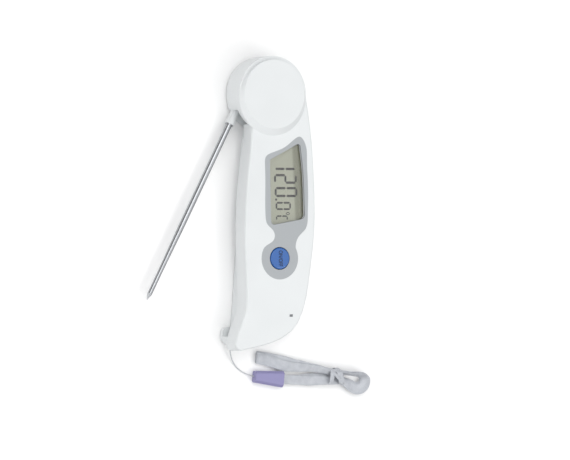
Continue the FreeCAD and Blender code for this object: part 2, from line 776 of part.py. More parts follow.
def sensor_bead():
    bead = round_bar(0.5, BEAD_START, BEAD_START + BEAD_LENGTH)
    bead = bead.makeFillet(0.3, bead.Edges[0:1] + bead.Edges[2:3])
    bead.Placement = along_probe(size("probe_angle"))
    return bead


def sensor_leads():
    """Two fine wires from the bead up the tube, through the drum and out of the spigot."""
    foot = probe_foot(size("probe_angle"))
    ahead = probe_direction(size("probe_angle"))
    side = Vector(ahead.y, -ahead.x, 0)
    wires = []
    for offset in (-0.3, 0.3):
        shift = side * offset
        riser = Vector(-size("wire_hole_offset"), offset * 1.6, 0)
        route = [
            foot + ahead * BEAD_START + shift,
            foot + ahead * 8.0 + shift,
            riser + Vector(0, 0, size("probe_height")),
            riser + Vector(0, 0, size("spigot_top") + 0.9),
        ]
        wires.append(cord_solid([tuple(point) for point in route], 0.2)[0])
    return Part.makeCompound(wires)


shape_part("sensor_bead", sensor_bead())
shape_part("sensor_leads", sensor_leads())
shape_part("hub_seal", Part.makeTorus(12.5, 0.55, Vector(0, 0, size("drum_height") - 0.4)))

back_cover = disc_body("hub_back_cover", "Sizes.cover_radius", "0", "Sizes.cover_thickness")
for number, (x, y) in enumerate(COVER_SCREWS):
    countersink = sketch_on(back_cover, f"countersink_{number}", "0")
    add_circle(countersink, "1.9", x, y)
    pocket(back_cover, countersink, "0.9", reverse=True)
    through = sketch_on(back_cover, f"through_{number}", "0")
    add_circle(through, "1.0", x, y)
    pocket(back_cover, through, "Sizes.cover_thickness", reverse=True)


def screw_group(places, head_radius, shank_radius, head_bottom, head_height, shank_top):
    """Identical cross-head screws driven in from the back."""
    screws = []
    for x, y in places:
        head = round_bar(head_radius, head_bottom, head_bottom + head_height, x, y)
        shank = round_bar(shank_radius, head_bottom, shank_top, x, y)
        screw = head.fuse(shank)
        for turn in (0, 90):
            reach = head_radius * 0.62
            blade = block((-reach, -0.22, head_bottom - 1), (reach, 0.22, head_bottom + 0.5))
            blade.rotate(Vector(0, 0, 0), Vector(0, 0, 1), turn + 20)
            blade.translate(Vector(x, y, 0))
            screw = screw.cut(blade)
        screws.append(screw.removeSplitter())
    return Part.makeCompound(screws)


shape_part("hub_screws", screw_group(COVER_SCREWS, 1.8, 0.85, 0.1, 0.8, 6.5))
shape_part(
    "case_screws",
    screw_group(CASE_SCREWS, size("screw_head_radius"), size("screw_shank_radius"), 1.5, 1.5, 12.0),
)

# ---- display and electronics -------------------------------------------------------------------------------


def plan_body(name, corners, bottom, height):
    """A plate with a cornered plan, sketched once and padded."""
    body = new_body(name)
    sketch = sketch_on(body, f"{name}_plan", bottom)
    add_profile(sketch, rounded_wire(corners))
    pad(body, sketch, height)
    return body


def rectangle(limits, grow=0.0, corner=0.3):
    left, right, low, high = limits
    return [
        (left - grow, low - grow, corner),
        (right + grow, low - grow, corner),
        (right + grow, high + grow, corner),
        (left - grow, high + grow, corner),
    ]


def bezel():
    plate = prism(bezel_face(), size("bezel_floor"), size("bezel_top"))
    opening = prism(rounded_face(WINDOW), 0, size("total_height"))
    hole = round_bar(size("button_radius") + 0.3, 0, size("total_height"), size("ring_x"), size("ring_y"))
    return one_solid(plate.cut(opening).cut(hole))


shape_part("display_bezel", bezel())
plan_body("display_window", rectangle(DISPLAY_BOX), "Sizes.roof_height - 0.6", "0.6")
plan_body("lcd_module", rectangle(DISPLAY_BOX), "Sizes.glass_bottom", "2")
FRAME_LIFT = "Sizes.board_top"
lcd_frame = plan_body("lcd_frame", rectangle(DISPLAY_BOX, 0.75), FRAME_LIFT, "4.5")
frame_opening = sketch_on(lcd_frame, "lcd_frame_opening", FRAME_LIFT)
add_profile(frame_opening, rounded_wire(rectangle(DISPLAY_BOX, 0.05)))
pocket(lcd_frame, frame_opening, "4.5", reverse=True)
boss_notch = sketch_on(lcd_frame, "lcd_frame_boss_notch", FRAME_LIFT)
add_circle(boss_notch, "Sizes.boss_radius + 0.2", *CASE_SCREWS[1])
pocket(lcd_frame, boss_notch, "4.5", reverse=True)

strips = [
    box(f"strip_{index}", (x, "-68", "Sizes.board_top"), "2", "40", "Sizes.glass_bottom - Sizes.board_top")
    for index, x in enumerate(("-2.2", "18.6"))
]
keep("lcd_connectors", fuse("lcd_connectors", strips))

plan_body("circuit_board", BOARD, "Sizes.board_bottom", "Sizes.board_top - Sizes.board_bottom")
chips = [
    box("chip_large", ("4", "-56", "Sizes.board_top"), "8", "8", "1.4"),
    box("chip_small", ("6", "-40", "Sizes.board_top"), "4", "5", "1.2"),
    box("crystal", ("12", "-78", "Sizes.board_top"), "6", "2", "1.8"),
]
keep("board_chips", fuse("board_chips", chips))

switch_case = box("switch_case", ("Sizes.ring_x - 3", "Sizes.ring_y - 3", "Sizes.board_top"), "6", "6", "3.2")
switch_hole = cylinder("switch_hole", "1.7", "2", "Sizes.ring_x", "Sizes.ring_y", "Sizes.board_top + 2")
keep("button_switch", cut("button_switch", switch_case, switch_hole))

cord_part("lead_loop", LEAD_LOOP_ROUTE, 0.4)

# ---- push button --------------------------------------------------------------------------------------------

BUTTON_SHOULDER = "Sizes.roof_height - 0.2"
button_cap = disc_body("button_cap", "Sizes.button_radius", BUTTON_SHOULDER, "Sizes.button_top - Sizes.roof_height + 0.2")
round_edges(button_cap, "0.9", at_height(size("button_top")))
flange = sketch_on(button_cap, "button_flange", "Sizes.roof_height - 1")
add_circle(flange, "Sizes.button_radius + 1")
pad(button_cap, flange, "0.8")
place(button_cap, "Sizes.ring_x", "Sizes.ring_y")

plunger = disc_body("switch_plunger", "1.6", "Sizes.board_top + 3", "Sizes.roof_height - 4 - Sizes.board_top")
place(plunger, "Sizes.ring_x", "Sizes.ring_y")

# ---- battery and its door -----------------------------------------------------------------------------------

coin_cell = disc_body("coin_cell", "Sizes.cell_radius", "Sizes.cell_bottom", "Sizes.cell_thickness")
round_edges(coin_cell, "0.25", lambda e: e.BoundBox.ZLength < 1e-4)
place(coin_cell, "Sizes.cell_x", "Sizes.cell_y")


def contact_minus():
    """A leaf under the board that bears on the top of the cell."""
    top = size("cell_bottom") + size("cell_thickness")
    x, y = size("cell_x"), size("cell_y")
    foot = block((x - 8, y - 2, size("board_bottom") - 0.3), (x - 3, y + 2, size("board_bottom")))
    leaf = block((x - 3.3, y - 2, top), (x + 4, y + 2, top + 0.3))
    rise = block((x - 3.3, y - 2, top), (x - 3, y + 2, size("board_bottom")))
    return one_solid(foot.fuse(leaf).fuse(rise))


def contact_plus():
    """A clip on the board that bears on the rim of the cell."""
    x, y = size("cell_x"), size("cell_y") + size("cell_radius")
    rise = block((x - 3, y + 0.02, size("cell_bottom") + 0.5), (x + 3, y + 0.32, size("board_bottom")))
    foot = block((x - 3, y + 0.02, size("board_bottom") - 0.3), (x + 3, y + 3, size("board_bottom")))
    return one_solid(rise.fuse(foot))


def battery_door():
    """A round door that a coin turns: flange, plug, two locking tabs and the coin slot."""
    x, y = size("cell_x"), size("cell_y")
    door = round_bar(size("door_radius"), 0, size("door_flange"), x, y)
    door = door.makeFillet(0.3, [e for e in door.Edges if at_height(0)(e)])
    door = door.fuse(round_bar(size("door_plug_radius"), 0.5, size("door_plug_top"), x, y))
    tab_bottom = size("ledge_top") + 0.15
    door = door.fuse(bayonet(size("tab_radius"), tab_bottom, size("door_plug_top"), 10.0, 45.0))
    slot = block((x - 7, y - 0.9, -1), (x + 7, y + 0.9, 0.9))
    slot = slot.makeFillet(0.85, [e for e in slot.Edges if e.BoundBox.ZLength > 1.5])
    return one_solid(door.cut(slot))


def door_seal():
    x, y = size("cell_x"), size("cell_y")
    ring = round_bar(11.9, size("door_flange") + 0.1, size("ledge_bottom"), x, y)
    return ring.cut(round_bar(10.9, 0, 4, x, y))


shape_part("contact_minus", contact_minus())
shape_part("contact_plus", contact_plus())
shape_part("battery_door", battery_door())
shape_part("door_seal", door_seal())

# ---- lanyard --------------------------------------------------------------------------------------------------

FERRULE_START = Vector(-2.9, -150.4, 0)
FERRULE_TURN = -5.5


def ferrule_end(width, along):
    """The six-sided outline of the soft sleeve at a distance along it."""
    height, slope = size("ferrule_height"), 1.3
    profile = [
        (-width / 2, 0.9, 0.3),
        (-width / 2 + 0.7, 0.0, 0.3),
        (width / 2 - 0.7, 0.0, 0.3),
        (width / 2, 0.9, 0.3),
        (width / 2, height - slope, 0.4),
        (width / 2 - slope, height, 0.5),
        (-width / 2 + slope, height, 0.5),
        (-width / 2, height - slope, 0.4),
    ]
    outline = rounded_wire(profile)
    outline.translate(Vector(0, 0, along))
    return outline


def strap_ferrule():
    """A soft sleeve lying on the table, with the thin cord in one end and the strap in the other."""
    length = size("ferrule_length")
    ends = [ferrule_end(size("ferrule_cord_width"), 0), ferrule_end(size("ferrule_strap_width"), length)]
    sleeve = Part.makeLoft(ends, True, True)
    upright = Rotation(Vector(0, 1, 0), Vector(0, 0, 1), Vector(1, 0, 0), "XYZ")
    swing = Rotation(Vector(0, 0, 1), FERRULE_TURN)
    sleeve.Placement = Placement(FERRULE_START, swing * upright)
    cord_tube = cord_solid(CORD_ROUTE, size("cord_hole_radius"))[0]
    strap_tube = cord_solid(STRAP_ROUTE, size("strap_radius"))[0]
    return one_solid(sleeve.cut(cord_tube).cut(strap_tube))


def strap_tie():
    """The tie round the folded strap, a short band with both runs through it."""
    outer = block((42.0, -155.3, 0.0), (50.6, -146.2, 6.2))
    outer = outer.makeFillet(1.6, [e for e in outer.Edges if e.BoundBox.XLength > 5])
    inner = block((38.0, -154.9, 0.45), (55.0, -146.6, 5.8))
    inner = inner.makeFillet(1.2, [e for e in inner.Edges if e.BoundBox.XLength > 5])
    return one_solid(outer.cut(inner))


cord_part("lanyard_cord", CORD_ROUTE, size("cord_radius"))
cord_part("wrist_strap", STRAP_ROUTE, size("strap_radius"))
shape_part("strap_ferrule", strap_ferrule())
shape_part("strap_tie", strap_tie())

# ---- check and write ------------------------------------------------------------------------------------------

doc.recompute()
for item in doc.Objects:
    if "Invalid" in item.State or "Error" in item.State:
        raise ValueError(f"{item.Label} did not recompute: {item.State}")
os.makedirs("parts", exist_ok=True)
for name, piece in parts.items():
    if piece.Shape.isNull() or not piece.Shape.isValid():
        raise ValueError(f"{name} has no valid shape")
for name, piece in parts.items():
    piece.Shape.exportStep(f"parts/{name}.step")
print(f"{len(parts)} sub-parts written")
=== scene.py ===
import bpy
import math
import bmesh
from mathutils import Matrix, Vector


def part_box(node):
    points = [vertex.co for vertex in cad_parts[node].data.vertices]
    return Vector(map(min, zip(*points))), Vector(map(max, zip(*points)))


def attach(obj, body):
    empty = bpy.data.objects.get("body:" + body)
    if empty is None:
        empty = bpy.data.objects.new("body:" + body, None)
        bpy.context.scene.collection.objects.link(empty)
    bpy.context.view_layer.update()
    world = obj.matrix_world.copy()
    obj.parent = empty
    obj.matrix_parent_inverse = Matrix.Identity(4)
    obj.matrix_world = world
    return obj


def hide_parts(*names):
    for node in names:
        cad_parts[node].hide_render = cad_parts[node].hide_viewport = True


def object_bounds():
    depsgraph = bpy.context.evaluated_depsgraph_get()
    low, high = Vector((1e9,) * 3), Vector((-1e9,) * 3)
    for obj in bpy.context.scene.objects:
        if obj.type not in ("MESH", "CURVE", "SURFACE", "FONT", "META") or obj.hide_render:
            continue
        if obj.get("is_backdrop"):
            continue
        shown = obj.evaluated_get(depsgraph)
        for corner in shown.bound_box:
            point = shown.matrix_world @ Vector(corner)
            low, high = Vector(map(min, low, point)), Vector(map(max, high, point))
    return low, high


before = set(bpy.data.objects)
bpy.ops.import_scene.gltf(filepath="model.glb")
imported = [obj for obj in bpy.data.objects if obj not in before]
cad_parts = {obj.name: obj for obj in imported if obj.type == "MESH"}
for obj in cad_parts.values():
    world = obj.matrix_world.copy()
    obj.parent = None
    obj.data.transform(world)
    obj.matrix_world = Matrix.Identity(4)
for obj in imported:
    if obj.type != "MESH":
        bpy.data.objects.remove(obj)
cad_low, cad_high = (list(corner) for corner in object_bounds())
MM = 0.001

# ---- Camera ------------------------------------------------------------------------------------------
# The thermometer lies on its back and the eye stands over it, swung thirty degrees to the probe's side,
# far enough away that the round head still reads as a plain ellipse.
EYE_DISTANCE = 3.0
EYE_SWING = math.radians(30)
FIELD_WIDTH = 0.303
SENSOR_WIDTH = 36.0
head_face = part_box("head_cap")[1].z
aim = Vector((0.0063, -0.0722, head_face))

lens_data = bpy.data.cameras.new("eye")
lens_data.sensor_width = SENSOR_WIDTH
lens_data.lens = SENSOR_WIDTH * EYE_DISTANCE / FIELD_WIDTH
lens_data.clip_end = 20
eye = bpy.data.objects.new("eye", lens_data)
eye.location = aim + Vector((-math.sin(EYE_SWING), 0, math.cos(EYE_SWING))) * EYE_DISTANCE
eye.rotation_euler = (0, -EYE_SWING, 0)
bpy.context.collection.objects.link(eye)
bpy.context.scene.camera = eye

# ---- Thin lanyard cord -------------------------------------------------------------------------------
# A two-ply nylon cord, 0.7 mm thick, twisted from two strands. It is held in the eyelet of the tip guard,
# drops to the table and runs into the small end of the vinyl sleeve.


def hex_colour(code):
    """An sRGB hex value as the linear colour that a socket takes."""
    levels = [int(code[i : i + 2], 16) / 255 for i in (0, 2, 4)]
    linear = [c / 12.92 if c <= 0.04045 else ((c + 0.055) / 1.055) ** 2.4 for c in levels]
    return (*linear, 1.0)


def add_node(tree, kind, links=None, **settings):
    """Adds a node, sets its properties or input values by name, and links its inputs."""
    node = tree.nodes.new(kind)
    for name, value in settings.items():
        if hasattr(node, name):
            setattr(node, name, value)
        else:
            node.inputs[name.replace("_", " ")].default_value = value
    for socket, source in (links or {}).items():
        tree.links.new(source, node.inputs[socket])
    return node


def new_material(name, colour, roughness, **sockets):
    """A Principled material with its constant values set on the shader itself."""
    material = bpy.data.materials.new(name)
    material.use_nodes = True
    shader = material.node_tree.nodes["Principled BSDF"]
    shader.inputs["Base Color"].default_value = hex_colour(colour)
    shader.inputs["Roughness"].default_value = roughness
    for socket, value in sockets.items():
        shader.inputs[socket.replace("_", " ")].default_value = value
    return material, material.node_tree, shader


def mesh_piece(name, mesh, material, body, smooth=True):
    """Links a finished mesh as an object at the origin that rides on a body."""
    piece = bpy.data.objects.new(name, mesh)
    bpy.context.collection.objects.link(piece)
    mesh.materials.append(material)
    for face in mesh.polygons:
        face.use_smooth = smooth
    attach(piece, body)
    return piece


def route_line(route, steps=12):
    """Points along the smooth line that a given route gives, read from its NURBS spline."""
    curve = bpy.data.curves.new("route", "CURVE")
    curve.dimensions = "3D"
    spline = curve.splines.new("NURBS")
    spline.points.add(len(route) - 1)
    for point, place in zip(spline.points, route):
        point.co = (*(value * MM for value in place), 1.0)
    spline.order_u = 3
    spline.use_endpoint_u = True
    spline.resolution_u = steps
    holder = bpy.data.objects.new("route", curve)
    bpy.context.collection.objects.link(holder)
    graph = bpy.context.evaluated_depsgraph_get()
    mesh = bpy.data.meshes.new_from_object(holder.evaluated_get(graph))
    line = [vertex.co.copy() for vertex in mesh.vertices]
    bpy.data.objects.remove(holder)
    bpy.data.curves.remove(curve)
    bpy.data.meshes.remove(mesh)
    return line


def even_line(line, spacing):
    """The same line with its points an even distance apart."""
    reach = [0.0]
    for before, after in zip(line, line[1:]):
        reach.append(reach[-1] + (after - before).length)
    count = max(2, round(reach[-1] / spacing))
    even = []
    index = 0
    for step in range(count + 1):
        along = reach[-1] * step / count
        while index < len(line) - 2 and reach[index + 1] < along:
            index += 1
        span = reach[index + 1] - reach[index]
        even.append(line[index].lerp(line[index + 1], (along - reach[index]) / span))
    return even, reach[-1]


def line_frames(line):
    """At each point: the point, the level direction across the line and the upward direction."""
    frames = []
    for index, point in enumerate(line):
        ahead = line[min(index + 1, len(line) - 1)] - line[max(index - 1, 0)]
        across = ahead.cross(Vector((0, 0, 1))).normalized()
        frames.append((point, across, across.cross(ahead).normalized()))
    return frames


def tube_mesh(name, rings, closed_ends=True):
    """A mesh from rings of points, each ring joined to the next, with UVs in metres."""
    mesh = bmesh.new()
    layer = mesh.loops.layers.uv.new("surface")
    verts = [[mesh.verts.new(point) for point in ring] for ring in rings]
    along = 0.0
    for lower, upper in zip(verts, verts[1:]):
        step = (upper[0].co - lower[0].co).length
        around = 0.0
        count = len(lower)
        for index in range(count):
            after = (index + 1) % count
            width = (lower[after].co - lower[index].co).length
            face = mesh.faces.new((lower[index], lower[after], upper[after], upper[index]))
            corners = ((around, along), (around + width, along))
            corners += ((around + width, along + step), (around, along + step))
            for loop, corner in zip(face.loops, corners):
                loop[layer].uv = corner
            around += width
        along += step
    if closed_ends:
        mesh.faces.new(verts[0][::-1])
        mesh.faces.new(verts[-1])
    bmesh.ops.recalc_face_normals(mesh, faces=mesh.faces)
    done = bpy.data.meshes.new(name)
    mesh.to_mesh(done)
    mesh.free()
    return done


def join_meshes(name, meshes):
    """Several meshes as one, UVs kept."""
    joined = bmesh.new()
    for mesh in meshes:
        joined.from_mesh(mesh)
        bpy.data.meshes.remove(mesh)
    done = bpy.data.meshes.new(name)
    joined.to_mesh(done)
    joined.free()
    return done


CORD_ROUTE = [
    (-19.0, -131.2, 3.4),
    (-18.4, -134.6, 3.0),
    (-17.6, -137.7, 2.2),
    (-16.3, -140.9, 1.2),
    (-14.1, -144.1, 0.6),
    (-11.1, -146.9, 0.5),
    (-7.2, -149.0, 0.8),
    (-2.7, -150.4, 1.7),
    (1.3, -150.8, 2.0),
]
CORD_DIAMETER = 0.7 * MM
PLY_RADIUS = 0.2 * MM
TWIST_PITCH = 1.9 * MM
PLY_SIDES = 8

cord_line, cord_length = even_line(route_line(CORD_ROUTE), 0.2 * MM)


def ply(phase):
    """One strand of the twisted cord, wound round the cord's own line."""
    rings = []
    along = 0.0
    offset = CORD_DIAMETER / 2 - PLY_RADIUS
    frames = line_frames(cord_line)
    for index, (point, across, up) in enumerate(frames):
        if index:
            along += (point - frames[index - 1][0]).length
        turn = math.tau * along / TWIST_PITCH + phase
        centre = point + (across * math.cos(turn) + up * math.sin(turn)) * offset
        ring = []
        for side in range(PLY_SIDES):
            angle = math.tau * side / PLY_SIDES
            ring.append(centre + (across * math.cos(angle) + up * math.sin(angle)) * PLY_RADIUS)
        rings.append(ring)
    return tube_mesh("ply", rings)


# Twisted nylon, off-white, with filaments that are drawn coarse enough to show.
FILAMENT_PITCH = 0.08 * MM
cord_nylon, cord_tree, cord_shader = new_material("twisted nylon cord", "C6C8CC", 0.55)
cord_uv = add_node(cord_tree, "ShaderNodeUVMap", uv_map="surface")
cord_fibres = add_node(cord_tree, "ShaderNodeTexWave", {"Vector": cord_uv.outputs["UV"]})
cord_fibres.inputs["Scale"].default_value = math.pi / (10 * FILAMENT_PITCH)
cord_fibres.inputs["Distortion"].default_value = 2.0
cord_bump = add_node(cord_tree, "ShaderNodeBump", {"Height": cord_fibres.outputs["Fac"]}, Distance=0.00003)
cord_tree.links.new(cord_bump.outputs["Normal"], cord_shader.inputs["Normal"])

cord_mesh = join_meshes("twisted_cord", [ply(0), ply(math.pi)])
lanyard = mesh_piece("twisted_cord", cord_mesh, cord_nylon, "handle")
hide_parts("lanyard_cord")

# ---- Wrist strap ---------------------------------------------------------------------------------------
# A loop of 6 mm woven nylon tape pressed flat, so two layers lie on each other, folded back on itself and
# tied. It comes out of the wide end of the vinyl sleeve.
STRAP_ROUTE = [
    (10.4, -151.6, 2.1),
    (17.0, -152.2, 1.7),
    (25.6, -152.5, 1.6),
    (34.4, -151.9, 1.8),
    (43.0, -152.0, 2.2),
    (51.0, -152.7, 2.2),
    (56.2, -155.4, 2.0),
    (60.6, -157.8, 1.9),
    (64.6, -156.3, 2.2),
    (65.4, -152.6, 2.8),
    (63.4, -150.2, 3.4),
    (58.6, -149.6, 3.8),
    (51.0, -149.1, 4.0),
    (43.2, -148.4, 3.9),
    (35.4, -146.4, 3.4),
    (27.0, -145.2, 2.6),
    (18.4, -143.9, 1.9),
    (10.0, -142.0, 1.6),
    (3.6, -140.6, 1.6),
    (-1.4, -140.1, 1.6),
]
STRAP_WIDTH = 6.0 * MM
TAPE_THICKNESS = 0.5 * MM
LAYER_GAP = 0.12 * MM
strap_line, strap_length = even_line(route_line(STRAP_ROUTE), 0.8 * MM)


def eased(value, low, high):
    """Zero below low, one above high, and a smooth step between."""
    share = min(max((value - low) / (high - low), 0.0), 1.0)
    return share * share * (3 - 2 * share)


# How the tape lies along its length: distance from the sleeve in mm, lean in degrees, width as a share of
# its own, and how far the lower layer has slipped sideways from the upper one in mm.
STRAP_LIE = [
    (0, 4, 0.82, 0.0),
    (12, 6, 0.86, -0.2),
    (22, 8, 0.88, -1.4),
    (33, 22, 0.80, -1.6),
    (41, 18, 0.72, -0.8),
    (48, 8, 0.95, -1.0),
    (54, 5, 1.0, -0.8),
    (58, 24, 0.95, -0.5),
    (62, 66, 0.85, -0.2),
    (70, 76, 0.85, 0.0),
    (77, 66, 0.75, 0.1),
    (85, 40, 0.62, 0.2),
    (93, 24, 0.7, 0.4),
    (102, 12, 0.84, 1.4),
    (110, 7, 0.98, 2.2),
    (119, 5, 1.0, 1.2),
    (126, 3, 1.04, 0.5),
    (131, 2, 1.06, 0.2),
]


def strap_lie(along):
    """Lean in radians, width share and slip in metres at a distance along the strap in metres."""
    reach = along / MM
    for before, after in zip(STRAP_LIE, STRAP_LIE[1:]):
        if reach <= after[0]:
            break
    share = eased(reach, before[0], after[0])
    lean, width, slip = (low + (high - low) * share for low, high in zip(before[1:], after[1:]))
    return math.radians(lean), width, slip * MM


def tape_layer(level, slips):
    """One layer of the tape with round selvedges, at a level above the strap's middle."""
    outline = [(-1, 0), (-0.985, 0.6), (-0.95, 0.95), (-0.5, 1), (0, 1), (0.5, 1), (0.95, 0.95), (0.985, 0.6)]
    outline += [(-x, -z) for x, z in outline]
    rings = []
    for index, (point, across, up) in enumerate(line_frames(strap_line)):
        lean, width, slip = strap_lie(strap_length * index / (len(strap_line) - 1))
        roll = Matrix.Rotation(lean, 3, across.cross(up))
        side = roll @ across
        top = roll @ up
        centre = point + top * level + side * (slip * slips)
        reach = STRAP_WIDTH / 2 * width
        rings.append([centre + side * (x * reach) + top * (z * TAPE_THICKNESS / 2) for x, z in outline])
    return tube_mesh("tape", rings)


# Thin woven nylon tape, a little glassy: lengthwise threads 0.35 mm apart and a fainter weft between them.
tape_weave, tape_tree, tape_shader = new_material("woven nylon tape", "C2C5CB", 0.5)
THREAD_PITCH = 0.35 * MM
WEFT_PITCH = 0.3 * MM
TONE_PATCH = 3.8 * MM
tape_uv = add_node(tape_tree, "ShaderNodeUVMap", uv_map="surface")
weave_waves = []
for direction, pitch in (("X", THREAD_PITCH), ("Y", WEFT_PITCH)):
    wave = add_node(tape_tree, "ShaderNodeTexWave", {"Vector": tape_uv.outputs["UV"]})
    wave.bands_direction = direction
    wave.inputs["Scale"].default_value = math.pi / (10 * pitch)
    wave.inputs["Distortion"].default_value = 0.8
    wave.inputs["Detail Scale"].default_value = 2.0
    weave_waves.append(wave)
weave = add_node(
    tape_tree,
    "ShaderNodeMix",
    {2: weave_waves[0].outputs["Fac"], 3: weave_waves[1].outputs["Fac"]},
    Factor=0.3,
)
# Random patches a few millimetres across make the weave lighter and darker.
weave_tone_patch = add_node(
    tape_tree, "ShaderNodeTexNoise", {"Vector": tape_uv.outputs["UV"]}, Scale=1 / TONE_PATCH
)
weave_mix = add_node(
    tape_tree,
    "ShaderNodeMath",
    {0: weave.outputs[0], 1: weave_tone_patch.outputs["Fac"]},
    operation="MULTIPLY",
)
weave_colour = add_node(tape_tree, "ShaderNodeValToRGB", {"Fac": weave_mix.outputs[0]})
weave_colour.color_ramp.elements[0].color = hex_colour("A3A7AF")
weave_colour.color_ramp.elements[1].position = 0.55
weave_colour.color_ramp.elements[1].color = hex_colour("D6D9DE")
weave_bump = add_node(tape_tree, "ShaderNodeBump", {"Height": weave.outputs[0]}, Distance=0.00008)
tape_tree.links.new(weave_colour.outputs["Color"], tape_shader.inputs["Base Color"])
tape_tree.links.new(weave_bump.outputs["Normal"], tape_shader.inputs["Normal"])
tape_shader.inputs["Sheen Weight"].default_value = 0.2

# The lower layer takes this share of the slip to one side and the upper layer takes the rest to the other.
LOWER_SLIP = 0.3
LAYER_LEVEL = (TAPE_THICKNESS + LAYER_GAP) / 2
tape_layers = [tape_layer(-LAYER_LEVEL, LOWER_SLIP), tape_layer(LAYER_LEVEL, LOWER_SLIP - 1)]
strap = mesh_piece("woven_strap", join_meshes("woven_strap", tape_layers), tape_weave, "handle")
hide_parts("wrist_strap")

# The tie is the same tape drawn tight round both runs: two turns that slant opposite ways, and the tail of
# the knot crossing over them.
TIE_TURNS = [
    # place along the strap, half width of the tape, slant, bulge in mm
    (-2.9, 1.35, 0.5, 0.1),
    (2.2, 1.9, -1.5, 0.35),
]
tie_low, tie_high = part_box("strap_tie")


def tie_turn(place, half, slant, bulge):
    """One closed turn of tape round the strap, creased where it bends over the edges."""
    centre = (tie_low + tie_high) / 2 + Vector((place * MM, 0, 0))
    half_y = (tie_high.y - tie_low.y) / 2 - 0.75 * MM
    half_z = (tie_high.z - tie_low.z) / 2 - 0.5 * MM
    steps = 56
    line = []
    for step in range(steps):
        turn = math.tau * step / steps
        swell = (bulge + 0.12 * math.sin(3 * turn + place)) * MM
        y = math.copysign(abs(math.cos(turn)) ** 0.75, math.cos(turn)) * (half_y + swell)
        z = math.copysign(abs(math.sin(turn)) ** 0.75, math.sin(turn)) * half_z
        line.append(centre + Vector((slant * MM * math.cos(turn), y, z)))
    rings = []
    for index, point in enumerate(line):
        ahead = (line[(index + 1) % steps] - line[index - 1]).normalized()
        side = (Vector((1, 0, 0)) - ahead * ahead.x).normalized()
        out = ahead.cross(side).normalized()
        pinch = 1 - 0.22 * abs(math.cos(math.tau * index / steps)) ** 3
        ring = []
        for x, z in ((-1, 0), (-0.9, 0.9), (-0.4, 1.3), (0, 0.9), (0.4, 1.4), (0.9, 0.9), (1, 0), (0, -0.8)):
            ring.append(point + side * (x * half * pinch * MM) + out * (z * TAPE_THICKNESS / 2))
        rings.append(ring)
    rings.append(rings[0])
    return tube_mesh("turn", rings, closed_ends=False)


def tie_tail():
    """The loose end of the knot, a short strip that crosses the turns and bends down at both ends."""
    top = tie_high.z + 0.1 * MM
    middle = (tie_low + tie_high) / 2
    start = Vector((middle.x - 3.6 * MM, middle.y + 3.1 * MM, top - 1.7 * MM))
    stop = Vector((middle.x + 3.4 * MM, middle.y - 3.3 * MM, top - 1.9 * MM))
    rings = []
    for step in range(13):
        share = step / 12
        rise = math.sin(math.pi * share) ** 0.6 * 1.55 * MM
        point = start.lerp(stop, share) + Vector((0, 0, rise))
        side = Vector((0.64, 0.77, 0)) * (1.25 - 0.35 * math.sin(math.pi * share)) * MM
        ring = []
        for x, z in ((-1, 0), (-0.9, 0.9), (0, 1.3), (0.9, 0.9), (1, 0), (0, -0.8)):
            ring.append(point + side * x + Vector((0, 0, z * TAPE_THICKNESS / 2)))
        rings.append(ring)
    return tube_mesh("tail", rings)


tie_parts = [tie_turn(*turn) for turn in TIE_TURNS] + [tie_tail()]
binding = mesh_piece("strap_binding", join_meshes("strap_binding", tie_parts), tape_weave, "handle")
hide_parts("strap_tie")


def finish_nodes(material, *names):
    """Gives CAD nodes a material in place of their plain one."""
    for name in names:
        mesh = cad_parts[name].data
        mesh.materials.clear()
        mesh.materials.append(material)


# The lilac sleeve is soft dipped vinyl, pressed six-sided over the crimped ends, with the slight ripple
# that dipping leaves.
DIP_RIPPLE = 1.1 * MM
vinyl, vinyl_tree, vinyl_shader = new_material("lilac dipped vinyl", "8A86B0", 0.38)
vinyl_place = add_node(vinyl_tree, "ShaderNodeTexCoord")
vinyl_noise = add_node(
    vinyl_tree, "ShaderNodeTexNoise", {"Vector": vinyl_place.outputs["Object"]}, Scale=1 / DIP_RIPPLE
)
vinyl_bump = add_node(vinyl_tree, "ShaderNodeBump", {"Height": vinyl_noise.outputs["Fac"]}, Distance=0.00004)
vinyl_tree.links.new(vinyl_bump.outputs["Normal"], vinyl_shader.inputs["Normal"])
finish_nodes(vinyl, "strap_ferrule")

# ---- Table and light -----------------------------------------------------------------------------------
# A matt white table under a tent of soft light, so the white sides only just turn grey. The tent darkens
# low down and to both sides, which draws the dark lines along the steel.
TABLE_HALF = 3.0
TABLE_LEVEL = cad_low[2] - 0.2 * MM
TENT_DARK_TO = 0.3
TENT_WHITE_FROM = 0.46
TENT_SIDE_DARKENING = -0.22
table_mesh = bpy.data.meshes.new("table")
table_signs = ((-1, -1), (1, -1), (1, 1), (-1, 1))
table_corners = [(x * TABLE_HALF, y * TABLE_HALF, TABLE_LEVEL) for x, y in table_signs]
table_mesh.from_pydata(table_corners, [], [(0, 1, 2, 3)])
table = bpy.data.objects.new("table", table_mesh)
bpy.context.collection.objects.link(table)
table_mesh.materials.append(new_material("matt white table", "FAFAFA", 0.9)[0])
table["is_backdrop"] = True

world = bpy.data.worlds.new("light_tent")
world.use_nodes = True
tent_tree = world.node_tree
tent = tent_tree.nodes["Background"]
tent_way = add_node(tent_tree, "ShaderNodeTexCoord")
tent_axes = add_node(tent_tree, "ShaderNodeSeparateXYZ", {"Vector": tent_way.outputs["Generated"]})
tent_side = add_node(tent_tree, "ShaderNodeMath", {0: tent_axes.outputs["X"]}, operation="ABSOLUTE")
tent_height = add_node(
    tent_tree,
    "ShaderNodeMath",
    {0: tent_side.outputs[0], 2: tent_axes.outputs["Z"]},
    operation="MULTIPLY_ADD",
)
tent_height.inputs[1].default_value = TENT_SIDE_DARKENING
tent_ramp = add_node(tent_tree, "ShaderNodeValToRGB", {"Fac": tent_height.outputs[0]})
tent_ramp.color_ramp.elements[0].position = TENT_DARK_TO
